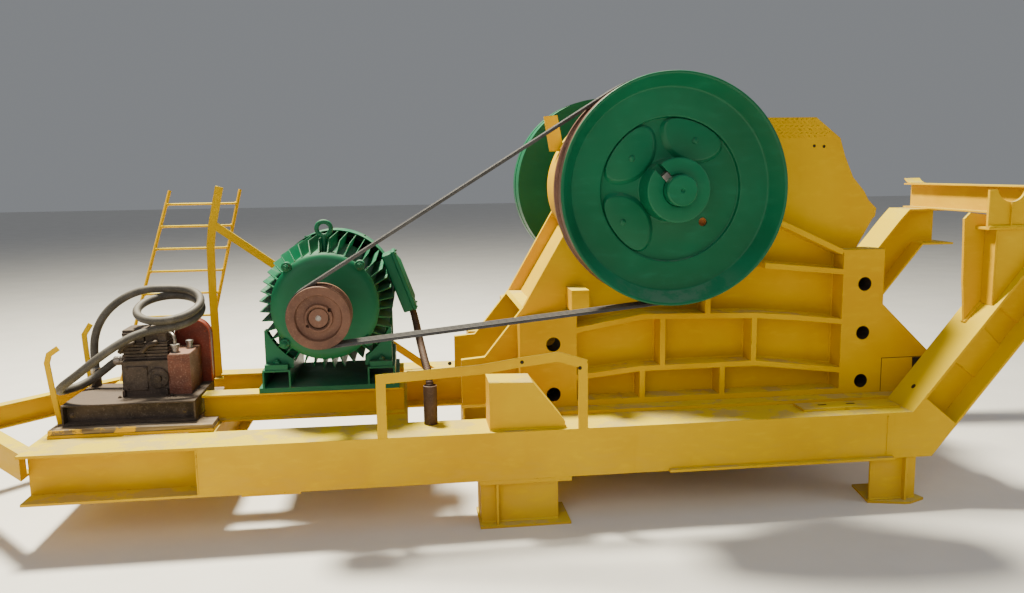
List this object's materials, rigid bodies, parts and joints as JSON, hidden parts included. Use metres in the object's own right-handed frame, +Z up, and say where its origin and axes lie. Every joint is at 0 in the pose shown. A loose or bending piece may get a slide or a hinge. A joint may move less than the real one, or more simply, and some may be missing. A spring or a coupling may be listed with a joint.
{
  "type": "jaw crusher",
  "caption": "Jaw crusher on a long welded beam frame: ribbed body between flywheels, hopper cheeks, belt drive from a finned motor, goose-necks, drawbar and a small power unit on planks.",
  "frame": {"origin": "centre of the whole part's footprint box, on the ground plane under its feet", "axes": "+X along the machine from the drawbar to the goose-necks, +Y across it from the belt side to the far side, +Z up"},
  "size_m": [5.995, 1.89, 2.0864],
  "materials": {
    "yellow_paint": "weathered semi-gloss paint with chips, dust and rust",
    "green_paint": "faded semi-gloss paint",
    "worn_pulley": "rusty",
    "bare_steel": "turned, lightly rusted",
    "belt_rubber": "dusty matt",
    "jaw_steel": "cast, worn smooth on the teeth",
    "rough_casting": "rough casting with dust",
    "brown_unit": "rusty dark brown",
    "red_brown_box": "faded red-brown paint",
    "red_guard": "faded red paint",
    "weathered_wood": "grey weathered boards",
    "rusty_pipe": "rusty brown",
    "hose_rubber": "dusty grey matt"
  },
  "bodies": {
    "root": {"near_main_beam": "yellow_paint", "far_main_beam": "yellow_paint", "near_gooseneck": "yellow_paint", "far_gooseneck": "yellow_paint", "top_cross_beam": "yellow_paint", "frame_cross_beams": "yellow_paint", "drawbar": "yellow_paint", "towing_eye": "yellow_paint", "middle_feet": "yellow_paint", "end_feet": "yellow_paint", "saddle_bracket": "yellow_paint", "saddle_post": "yellow_paint", "motor_rails": "yellow_paint", "motor_slide_base": "green_paint", "motor_barrel": "green_paint", "motor_end_shields": "green_paint", "motor_fan_cover": "green_paint", "motor_feet": "green_paint", "motor_terminal_box": "green_paint", "motor_lifting_eye": "green_paint", "drive_belts": "belt_rubber", "near_side_frame": "yellow_paint", "far_side_frame": "yellow_paint", "front_wall": "yellow_paint", "rear_wall": "yellow_paint", "toggle_block": "yellow_paint", "fixed_jaw_plate": "jaw_steel", "swing_jaw": "rough_casting", "swing_jaw_plate": "jaw_steel", "toggle_plate": "rough_casting", "tension_rod": "rough_casting", "bearing_housings": "yellow_paint", "shaft_cover": "yellow_paint", "cover_bracket": "yellow_paint", "hopper_cheeks": "yellow_paint", "hopper_back": "yellow_paint", "guard_bracket": "yellow_paint", "wedge_pedestals": "yellow_paint", "ladder": "yellow_paint", "guard_post": "yellow_paint", "unit_stand": "brown_unit", "unit_block": "brown_unit", "unit_box": "red_brown_box", "unit_guard": "red_guard", "deck_plate": "yellow_paint", "deck_planks": "weathered_wood", "crusher_skids": "yellow_paint", "beam_plates": "yellow_paint", "deck_bars": "yellow_paint", "motor_conduit": "rusty_pipe", "hose_run": "hose_rubber", "hose_coil": "hose_rubber", "hose_tail": "hose_rubber"},
    "crusher_shaft": {"near_flywheel": "green_paint", "far_flywheel": "green_paint", "eccentric_shaft": "bare_steel"},
    "motor_rotor": {"motor_shaft": "bare_steel", "motor_pulley": "worn_pulley"}
  },
  "joints": [
    {"name": "flywheel_spin", "type": "hinge", "parent": "root", "child": "crusher_shaft", "pos_m": [0.7075, 0, 1.56], "axis": [0, 1, 0], "continuous": true},
    {"name": "motor_spin", "type": "hinge", "parent": "root", "child": "motor_rotor", "pos_m": [-0.8975, 0, 1.022], "axis": [0, 1, 0], "continuous": true}
  ],
  "couplings": [
    {"joint": "motor_spin", "follows": "flywheel_spin", "ratio": 3.6761}
  ]
}
